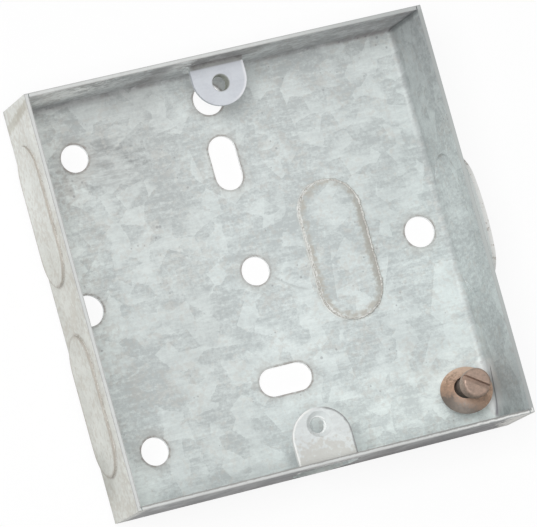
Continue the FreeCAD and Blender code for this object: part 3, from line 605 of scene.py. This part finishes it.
def mark_lugs(coat):
    """Top lug bluish, with a painted highlight along its right edge and painted shade in its bore; bottom lug
    pale and stained, with a dark line along its right edge, a painted highlight along its left edge and
    painted light in its bore.
    """
    tree = coat.tree
    area = coat.area
    top = area["top lug"]
    bottom = area["bottom lug"]
    coat.lay((0.60, 0.62, 0.68), top, share=0.75)
    to_edge = coat.stray(lug_edge_distance(tree, area, TOP_LUG_WIDTH, TOP_LUG_TIP), ragged=0.3)
    # Painted highlight along the top lug's right edge
    coat.lay((0.88, 0.88, 0.90), top, remap(tree, to_edge, -0.5, -0.2), coat.ramp("x", 1.0, 3.0), share=0.6)
    coat.lay((0.74, 0.76, 0.76), bottom, share=0.6)
    to_root = coat.stray(area["y"], wander=6.0)
    coat.lay((0.52, 0.49, 0.44), bottom, remap(tree, to_root, -31.0, -34.0), share=0.55)
    to_edge = coat.stray(lug_edge_distance(tree, area, BOTTOM_LUG_WIDTH, BOTTOM_LUG_TIP), ragged=0.5)
    edge = remap(tree, to_edge, -0.4, -0.15)
    # Dark line along the bottom lug's right edge, then a painted highlight along its left edge
    coat.lay((0.20, 0.20, 0.20), bottom, edge, coat.ramp("x", 0.0, 2.0), share=0.8)
    coat.lay((0.92, 0.92, 0.90), bottom, edge, coat.ramp("x", 0.0, -2.0), share=0.8)
    # Painted shade in the top lug's bore and painted light in the bottom lug's bore
    coat.lay((0.24, 0.25, 0.20), lug_bore(tree, coat.place, area, "top_lug_thread"), share=0.8)
    coat.lay((0.95, 0.96, 0.95), lug_bore(tree, coat.place, area, "bottom_lug_thread"), share=0.8)


def mark_cut_edges(coat):
    """Light walls of the holes; grey rim with dark ragged edges, darker to the right; the bottom rim with a
    painted highlight line and a dark line along its inner edge.
    """
    tree = coat.tree
    area = coat.area
    rim = area["rim"]
    coat.lay((0.95, 0.95, 0.95), area["hole wall"], share=0.9)
    coat.lay((0.62, 0.63, 0.62), rim, share=0.8)
    coat.lay((0.26, 0.25, 0.24), rim, coat.stray(area["rim edge"], ragged=0.8), share=0.5)
    less_at_top = coat.ramp("y", INNER_WALL - 0.3, INNER_WALL, 1.0, 0.6)
    coat.lay((0.43, 0.46, 0.45), rim, area["towards right"], less_at_top, share=0.85)
    coat.lay((0.30, 0.31, 0.31), rim, area["towards right"], area["wall ends"], less_at_top, share=0.5)
    bottom_rim = product(tree, rim, coat.ramp("y", -INNER_WALL + 0.2, -INNER_WALL))
    across_rim = calc(tree, "SUBTRACT", coat.stray(area["from middle"], ragged=0.5), INNER_WALL)
    # Painted highlight line across the bottom rim, towards the right
    coat.lay((0.82, 0.82, 0.80), bottom_rim, area["towards right"], band(tree, across_rim, 0.3, 0.55, 0.08),
             share=0.9)
    coat.lay((0.24, 0.23, 0.22), bottom_rim, remap(tree, across_rim, 0.3, 0.15), share=0.7)


def galvanised_sheet():
    """Zinc-coated sheet: crystals in the coating, rubbed lines, brown stain, light cut edges, and painted
    shade and light in places.
    """
    material, tree, shader, place = new_material("galvanised_sheet")
    coat = ZincCoat(tree, place)
    for mark in (mark_base, mark_holes, mark_base_knockout, mark_left_wall, mark_top_wall, mark_right_wall,
                 mark_bottom_wall, mark_folds, mark_lugs, mark_cut_edges):
        mark(coat)
    tree.links.new(coat.colour, shader.inputs["Base Color"])
    tree.links.new(remap(tree, coat.tone, 0.2, 0.7, 0.68, 0.52), shader.inputs["Roughness"])
    shader.inputs["Metallic"].default_value = 0.08
    shader.inputs["Specular IOR Level"].default_value = 0.35
    ripple = noise(tree, place, 0.9, detail=4.0).outputs[0]
    height = calc(tree, "MULTIPLY_ADD", coat.rubs["Lines"], 0.5, ripple)
    bump = add_node(tree, "ShaderNodeBump", {"Strength": 0.3, "Distance": 0.06 * MM, "Height": height})
    tree.links.new(bump.outputs[0], shader.inputs["Normal"])
    return material


def sheared_zinc():
    """Torn zinc along a sheared line: pale ridges and brown dirt."""
    material, tree, shader, place = new_material("sheared_zinc")
    worn = use_group(tree, TARNISH, {"Place": place, "Scale": 0.5, "Mottle": 1.2})
    colour = blend_colour(tree, worn["Cloud"], rgba((0.74, 0.74, 0.71)), rgba((0.40, 0.385, 0.35)))
    tree.links.new(colour, shader.inputs["Base Color"])
    tree.links.new(remap(tree, worn["Grain"], 0.3, 0.7, 0.5, 0.8), shader.inputs["Roughness"])
    shader.inputs["Metallic"].default_value = 0.1
    return material


def copper(name, clean, dull, stretch, ends):
    """Dull copper: clean where it was rubbed, brown where it has tarnished, and a painted highlight and
    painted shade at its ends.

    An end is a direction, the reach along it where the colour starts and where it is full, and the colour.
    """
    material, tree, shader, place = new_material(name)
    worn = use_group(tree, TARNISH, {"Place": place, "Scale": 0.3, "Mottle": 0.9})
    rubs = use_group(tree, RUBS, {"Place": place, "Stretch": stretch, "Scale": 2.5})
    colour = blend_colour(tree, worn["Cloud"], rgba(clean), rgba(dull))
    lines = calc(tree, "MULTIPLY", rubs["Lines"], 0.25)
    rubbed_brighter = 1.35
    colour = blend_colour(tree, lines, colour, rgba([part * rubbed_brighter for part in clean]))
    # Painted highlight and painted shade at the ends
    for heading, start, full, shade in ends:
        reach = calc_vector(tree, "DOT_PRODUCT", place, heading).outputs["Value"]
        reach = calc(tree, "MULTIPLY_ADD", calc(tree, "SUBTRACT", worn["Cloud"], 0.5), start - full, reach)
        colour = blend_colour(tree, remap(tree, reach, start, full, 0.0, 0.85), colour, rgba(shade))
    tree.links.new(colour, shader.inputs["Base Color"])
    tree.links.new(remap(tree, worn["Cloud"], 0.0, 1.0, 0.38, 0.6), shader.inputs["Roughness"])
    shader.inputs["Metallic"].default_value = 0.4
    bump = add_node(tree, "ShaderNodeBump",
                    {"Strength": 0.3, "Distance": 0.05 * MM, "Height": worn["Grain"]})
    tree.links.new(bump.outputs[0], shader.inputs["Normal"])
    return material


def dress(node, material):
    """Give a CAD node its finish."""
    for slot in nodes[node].material_slots:
        slot.material = material


# Painted highlight and shade: the washer is painted pale on its side towards the top right and dark on the
# other; the screw is painted dark in the shade below its head
TOWARDS_TOP_RIGHT = (0.55, 0.83, 0.0)
TOWARDS_FRONT = (0.0, 0.0, 1.0)
ZINC = galvanised_sheet()
SHEARED = sheared_zinc()
WASHER_COPPER = copper("washer_copper", clean=(0.56, 0.36, 0.25), dull=(0.30, 0.21, 0.16),
                       stretch=(1.0, 1.0, 0.1),
                       ends=[(TOWARDS_TOP_RIGHT, -7.0, -4.6, (0.78, 0.56, 0.43)),
                             (TOWARDS_TOP_RIGHT, -8.3, -10.0, (0.13, 0.125, 0.115))])
SCREW_COPPER = copper("screw_copper", clean=(0.46, 0.33, 0.26), dull=(0.28, 0.21, 0.175),
                      stretch=(0.3, 1.0, 1.0),
                      ends=[(TOWARDS_FRONT, SCREW_HEAD_BASE, SCREW_HEAD_BASE - 0.2,
                             (0.10, 0.085, 0.075))])
dress("box_shell", ZINC)
dress("earth_cup_washer", WASHER_COPPER)
dress("earth_screw", SCREW_COPPER)


# Geometry node trees for what follows a path or is scattered


def finish_tree(tree, geometry, material, made):
    """Close a tree: real geometry with its material."""
    real = add_node(tree, "GeometryNodeRealizeInstances", {0: geometry}).outputs[0]
    done = add_node(tree, "GeometryNodeSetMaterial", {"Geometry": real, "Material": material})
    tree.links.new(done.outputs[0], made["Geometry"])


def bead_tree():
    """Ragged bead round an obround, lying in the XY plane."""
    tree, given, made = new_group(
        "ragged_bead", "GeometryNodeTree",
        [("Length", "NodeSocketFloat", 0.02), ("Width", "NodeSocketFloat", 0.01),
         ("Bead", "NodeSocketFloat", 0.0002), ("Wander", "NodeSocketFloat", 0.0001),
         ("Step", "NodeSocketFloat", 0.0003), ("Seed", "NodeSocketFloat", 0.0),
         ("Finish", "NodeSocketMaterial", None)],
        [("Geometry", "NodeSocketGeometry")])
    path = add_node(tree, "GeometryNodeCurvePrimitiveQuadrilateral",
                    {"Width": given["Length"], "Height": given["Width"]}, mode="RECTANGLE")
    nearly_half = 0.4999
    corner = calc(tree, "MULTIPLY", given["Width"], nearly_half)
    path = add_node(tree, "GeometryNodeFilletCurve",
                    {"Curve": path.outputs[0], "Count": 12, "Radius": corner}, mode="POLY")
    path = add_node(tree, "GeometryNodeResampleCurve",
                    {"Curve": path.outputs[0], "Length": given["Step"]}, mode="LENGTH")
    spot = add_node(tree, "GeometryNodeInputPosition").outputs[0]
    shakes_per_metre = 900.0
    swells_per_metre = 450.0
    shake = add_node(tree, "ShaderNodeTexNoise",
                     {"Vector": spot, "W": given["Seed"], "Scale": shakes_per_metre, "Detail": 2.0},
                     noise_dimensions="4D")
    aside = calc_vector(tree, "SUBTRACT", shake.outputs["Color"], (0.5, 0.5, 0.5)).outputs[0]
    aside = calc_vector(tree, "SCALE", aside, scale=given["Wander"]).outputs[0]
    path = add_node(tree, "GeometryNodeSetPosition", {"Geometry": path.outputs[0], "Offset": aside})
    swell = add_node(tree, "ShaderNodeTexNoise",
                     {"Vector": spot, "W": given["Seed"], "Scale": swells_per_metre, "Detail": 2.0},
                     noise_dimensions="4D")
    swell = remap(tree, swell.outputs[0], 0.3, 0.7, 0.35, 1.5)
    path = add_node(tree, "GeometryNodeSetCurveRadius", {"Curve": path.outputs[0], "Radius": swell})
    section = add_node(tree, "GeometryNodeCurvePrimitiveCircle",
                       {"Resolution": 7, "Radius": given["Bead"]}, mode="RADIUS")
    tube = add_node(tree, "GeometryNodeCurveToMesh",
                    {"Curve": path.outputs[0], "Profile Curve": section.outputs[0]})
    finish_tree(tree, tube.outputs[0], given["Finish"], made)
    return tree


def thread_tree():
    """Thread ridge wound up the Z axis from the origin."""
    tree, given, made = new_group(
        "thread", "GeometryNodeTree",
        [("Radius", "NodeSocketFloat", 0.0015), ("Pitch", "NodeSocketFloat", 0.0006),
         ("Turns", "NodeSocketFloat", 3.0), ("Ridge", "NodeSocketFloat", 0.0002),
         ("Finish", "NodeSocketMaterial", None)],
        [("Geometry", "NodeSocketGeometry")])
    rise = calc(tree, "MULTIPLY", given["Pitch"], given["Turns"])
    path = add_node(tree, "GeometryNodeCurveSpiral",
                    {"Resolution": 28, "Rotations": given["Turns"], "Start Radius": given["Radius"],
                     "End Radius": given["Radius"], "Height": rise})
    path = add_node(tree, "GeometryNodeSetCurveNormal", {"Curve": path.outputs[0]}, mode="Z_UP")
    section = add_node(tree, "GeometryNodeCurvePrimitiveCircle",
                       {"Resolution": 4, "Radius": given["Ridge"]}, mode="RADIUS")
    ridge = add_node(tree, "GeometryNodeCurveToMesh",
                     {"Curve": path.outputs[0], "Profile Curve": section.outputs[0], "Fill Caps": True})
    finish_tree(tree, ridge.outputs[0], given["Finish"], made)
    return tree


def pimple_tree():
    """Small lumps of dross in the zinc, scattered over the inner face of the base."""
    tree, given, made = new_group(
        "zinc_pimples", "GeometryNodeTree",
        [("Sheet", "NodeSocketObject", None), ("Floor Height", "NodeSocketFloat", 0.0009),
         ("Density", "NodeSocketFloat", 20000.0), ("Smallest", "NodeSocketFloat", 0.0001),
         ("Largest", "NodeSocketFloat", 0.0002), ("Flatness", "NodeSocketFloat", 0.35),
         ("Seed", "NodeSocketInt", 1), ("Finish", "NodeSocketMaterial", None)],
        [("Geometry", "NodeSocketGeometry")])
    sheet = add_node(tree, "GeometryNodeObjectInfo", {"Object": given["Sheet"]})
    spot = add_node(tree, "GeometryNodeInputPosition").outputs[0]
    height = add_node(tree, "ShaderNodeSeparateXYZ", {0: spot}).outputs["Z"]
    upward = add_node(tree, "GeometryNodeInputNormal").outputs[0]
    upward = add_node(tree, "ShaderNodeSeparateXYZ", {0: upward}).outputs["Z"]
    off = calc(tree, "ABSOLUTE", calc(tree, "SUBTRACT", height, given["Floor Height"]))
    here = calc(tree, "MULTIPLY", calc(tree, "LESS_THAN", off, 0.02 * MM),
                calc(tree, "GREATER_THAN", upward, 0.99))
    points = add_node(tree, "GeometryNodeDistributePointsOnFaces",
                      {"Mesh": sheet.outputs["Geometry"], "Selection": here,
                       "Density": given["Density"], "Seed": given["Seed"]})
    size = add_node(tree, "FunctionNodeRandomValue",
                    {2: given["Smallest"], 3: given["Largest"], "Seed": given["Seed"]}, data_type="FLOAT")
    size = size.outputs[1]
    scale = add_node(tree, "ShaderNodeCombineXYZ",
                     {0: size, 1: size, 2: calc(tree, "MULTIPLY", size, given["Flatness"])})
    lump = add_node(tree, "GeometryNodeMeshIcoSphere", {"Radius": 1.0, "Subdivisions": 2})
    lumps = add_node(tree, "GeometryNodeInstanceOnPoints",
                     {"Points": points.outputs["Points"], "Instance": lump.outputs[0],
                      "Scale": scale.outputs[0]})
    finish_tree(tree, lumps.outputs[0], given["Finish"], made)
    return tree


def grow(name, tree, values, place=None):
    """Plain mesh piece from a geometry node tree, put in place and riding on the box."""
    piece = bpy.data.objects.new(name, bpy.data.meshes.new(name))
    bpy.context.scene.collection.objects.link(piece)
    modifier = piece.modifiers.new("shape", "NODES")
    modifier.node_group = tree
    for item in tree.interface.items_tree:
        if item.in_out == "INPUT" and item.name in values:
            modifier[item.identifier] = values[item.name]
    bpy.context.view_layer.update()
    evaluated = piece.evaluated_get(bpy.context.evaluated_depsgraph_get())
    mesh = bpy.data.meshes.new_from_object(evaluated)
    piece.modifiers.clear()
    piece.data = mesh
    mesh.name = name
    if place is not None:
        mesh.transform(place)
    for polygon in mesh.polygons:
        polygon.use_smooth = True
    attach(piece, BODY)


BEADS = bead_tree()
THREADS = thread_tree()
PIMPLES = pimple_tree()

# Turns of a bead: its length along Y on the base and on the left wall, and along Z in the top wall
UPRIGHT_ON_BASE = Matrix.Rotation(math.radians(90), 4, "Z")
UPRIGHT_ON_WALL = Matrix.Rotation(math.radians(-90), 4, "Y") @ UPRIGHT_ON_BASE
UPRIGHT_IN_TOP_WALL = Matrix.Rotation(math.radians(90), 4, "X") @ UPRIGHT_ON_BASE


def shift(x, y, z):
    """Move by millimetres."""
    return Matrix.Translation(Vector((x, y, z)) * MM)


def shear_beads():
    """Ragged sheared line round each knockout that is still in place."""
    sunk = 0.1
    middle = place_of("base_knockout")
    grow("base_knockout_burr", BEADS,
         {"Length": KNOCKOUT_LENGTH * MM, "Width": BASE_KNOCKOUT_WIDTH * MM, "Bead": 0.2 * MM,
          "Wander": 0.5 * MM, "Seed": 3.0, "Finish": SHEARED},
         shift(middle.x, middle.y, SHEET + BASE_KNOCKOUT_SHEAR - sunk) @ UPRIGHT_ON_BASE)
    for seed, name in ((11.0, "left_upper_knockout"), (23.0, "left_lower_knockout")):
        middle = place_of(name)
        grow(name + "_burr", BEADS,
             {"Length": KNOCKOUT_LENGTH * MM, "Width": KNOCKOUT_WIDTH * MM, "Bead": 0.09 * MM,
              "Wander": 0.2 * MM, "Seed": seed, "Finish": SHEARED},
             shift(-BOX_HALF, middle.y, middle.z) @ UPRIGHT_ON_WALL)


def window_burrs():
    """Torn edges beside the root of the top lug, where its window was sheared."""
    aside = TOP_LUG_WIDTH / 2 - 0.12
    into_wall = 0.06
    below_front = 1.7
    for side, name in ((-1, "top_lug_left_burr"), (1, "top_lug_right_burr")):
        grow(name, BEADS,
             {"Length": 2.4 * MM, "Width": 0.3 * MM, "Bead": 0.24 * MM, "Wander": 0.1 * MM,
              "Step": 0.15 * MM, "Seed": 31.0 + side, "Finish": ZINC},
             shift(side * aside, INNER_WALL + into_wall, TOP_LUG - below_front) @ UPRIGHT_IN_TOP_WALL)


def threads():
    """Threads of the two lug holes and of the earth screw's shank."""
    lug_pitch = 0.6
    turns_left_out = 0.4
    above_end = 0.12
    for name in ("top_lug_thread", "bottom_lug_thread"):
        middle = place_of(name)
        length = mounts[name]["dims"]["length_mm"]
        grow(name, THREADS,
             {"Radius": mounts[name]["dims"]["r_mm"] * MM, "Pitch": lug_pitch * MM,
              "Turns": length / lug_pitch - turns_left_out, "Ridge": 0.16 * MM, "Finish": ZINC},
             shift(middle.x, middle.y, middle.z - length / 2 + above_end))
    screw_pitch = 0.7
    threaded_length = 5.3
    sunk = 0.06
    above_base = 0.8
    low, high = (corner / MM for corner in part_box("earth_screw"))
    middle = (low + high) / 2
    grow("earth_screw_thread", THREADS,
         {"Radius": (SCREW_RADIUS - sunk) * MM, "Pitch": screw_pitch * MM,
          "Turns": threaded_length / screw_pitch, "Ridge": 0.09 * MM, "Finish": SCREW_COPPER},
         shift(middle.x, middle.y, SHEET + above_base))


shear_beads()
window_burrs()
threads()
grow("zinc_pimples", PIMPLES,
     {"Sheet": nodes["box_shell"], "Floor Height": SHEET * MM, "Density": 18000.0,
      "Smallest": 0.07 * MM, "Largest": 0.2 * MM, "Flatness": 0.4, "Seed": 5, "Finish": ZINC})


# Floor, light and camera

WHITE = (1.0, 1.0, 1.0)


def pale_floor():
    """White floor that keeps a soft shadow of the box."""
    half = 3.0
    glow_share = 0.88
    mesh = bpy.data.meshes.new("floor")
    corners = [(-half, -half, 0), (half, -half, 0), (half, half, 0), (-half, half, 0)]
    mesh.from_pydata(corners, [], [(0, 1, 2, 3)])
    floor = bpy.data.objects.new("floor", mesh)
    bpy.context.scene.collection.objects.link(floor)
    material = bpy.data.materials.new("floor_white")
    material.use_nodes = True
    tree = material.node_tree
    shader = tree.nodes["Principled BSDF"]
    shader.inputs["Base Color"].default_value = rgba((0.9, 0.9, 0.9))
    shader.inputs["Roughness"].default_value = 0.9
    glow = add_node(tree, "ShaderNodeEmission", {"Color": rgba(WHITE), "Strength": 1.0})
    ray = add_node(tree, "ShaderNodeLightPath").outputs
    seen = calc(tree, "MAXIMUM", ray["Is Camera Ray"],
                calc(tree, "MAXIMUM", ray["Is Glossy Ray"], ray["Is Transmission Ray"]))
    share = calc(tree, "MULTIPLY", seen, glow_share)
    mix = add_node(tree, "ShaderNodeMixShader", {0: share, 1: shader.outputs[0], 2: glow.outputs[0]})
    tree.links.new(mix.outputs[0], tree.nodes["Material Output"].inputs["Surface"])
    mesh.materials.append(material)


def soft_world(level):
    """Even light from all round, seen as plain white."""
    world = bpy.data.worlds.new("soft_world")
    world.use_nodes = True
    tree = world.node_tree
    ray = add_node(tree, "ShaderNodeLightPath").outputs
    strength = remap(tree, ray["Is Camera Ray"], 0.0, 1.0, level, 1.0)
    background = tree.nodes["Background"]
    background.inputs["Color"].default_value = rgba(WHITE)
    tree.links.new(strength, background.inputs["Strength"])
    bpy.context.scene.world = world


def soft_lamp(name, heading, distance, size, power):
    """Square lamp that stands off in one direction and points at the box."""
    lamp = bpy.data.lights.new(name, "AREA")
    lamp.shape = "SQUARE"
    lamp.size = size
    lamp.energy = power
    holder = bpy.data.objects.new(name, lamp)
    away = Vector(heading).normalized()
    holder.location = away * distance
    holder.rotation_euler = away.to_track_quat("Z", "Y").to_euler()
    bpy.context.scene.collection.objects.link(holder)


# Camera of the photograph: picture width and focal length in pixels, sensor and places in millimetres
PHOTO_WIDTH = 537
FOCAL_PIXELS = 5943.6
SENSOR = 36.0
CAMERA_PLACE = Vector((-318.58, -107.13, 951.68)) * MM
CAMERA_TARGET = Vector((2.803, 0.808, 0.0)) * MM
CAMERA_ROLL = math.radians(56.931)


def photo_camera():
    """Camera that looks down on the open front, as in the photograph."""
    lens = bpy.data.cameras.new("camera")
    lens.sensor_width = SENSOR
    lens.lens = FOCAL_PIXELS * SENSOR / PHOTO_WIDTH
    holder = bpy.data.objects.new("camera", lens)
    aim = (CAMERA_TARGET - CAMERA_PLACE).to_track_quat("-Z", "Y").to_matrix().to_4x4()
    roll = Matrix.Rotation(CAMERA_ROLL, 4, "Z")
    holder.matrix_world = Matrix.Translation(CAMERA_PLACE) @ aim @ roll
    bpy.context.scene.collection.objects.link(holder)
    bpy.context.scene.camera = holder


pale_floor()
soft_world(level=0.46)
soft_lamp("key", heading=(-0.38, 0.03, 0.92), distance=1.3, size=0.8, power=12.0)
photo_camera()
bpy.context.scene.view_settings.view_transform = "Standard"
